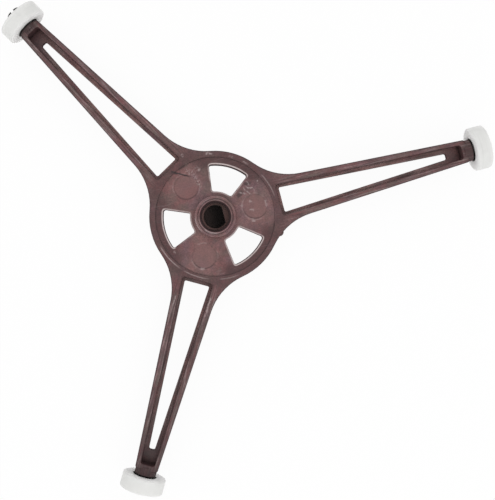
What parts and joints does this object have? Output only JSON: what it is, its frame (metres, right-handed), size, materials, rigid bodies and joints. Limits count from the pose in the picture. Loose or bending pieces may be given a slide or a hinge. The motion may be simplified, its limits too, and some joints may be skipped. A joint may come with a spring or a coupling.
{
  "type": "microwave roller ring",
  "caption": "Y-shaped moulded carrier with a D-socket hub, slotted tapered arms and free-running rollers at their ends, which carries and turns a microwave oven's glass tray.",
  "frame": {"origin": "on the hub's axis, level with the roller axles and halfway up the hub's rim", "axes": "+Z along the hub's axis out of the drive socket's mouth, +X along the first arm, which the flat of the socket faces"},
  "size_m": [0.1351, 0.1541, 0.0132],
  "materials": {
    "spider_plastic": "semi-matt brown moulded heat-resistant plastic, lightly scuffed",
    "roller_plastic": "matt off-white moulded plastic"
  },
  "bodies": {
    "spider": {"spider": "spider_plastic"},
    "roller_1": {"roller_1": "roller_plastic"},
    "roller_2": {"roller_2": "roller_plastic"},
    "roller_3": {"roller_3": "roller_plastic"}
  },
  "joints": [
    {"name": "roller_1_spin", "type": "hinge", "parent": "spider", "child": "roller_1", "pos_m": [0.0837, 0, 0], "axis": [1, 0, 0], "continuous": true},
    {"name": "roller_2_spin", "type": "hinge", "parent": "spider", "child": "roller_2", "pos_m": [-0.04122, 0.0714, 0], "axis": [-0.5, 0.866, 0], "continuous": true},
    {"name": "roller_3_spin", "type": "hinge", "parent": "spider", "child": "roller_3", "pos_m": [-0.04185, -0.07249, 0], "axis": [-0.5, -0.866, 0], "continuous": true}
  ]
}
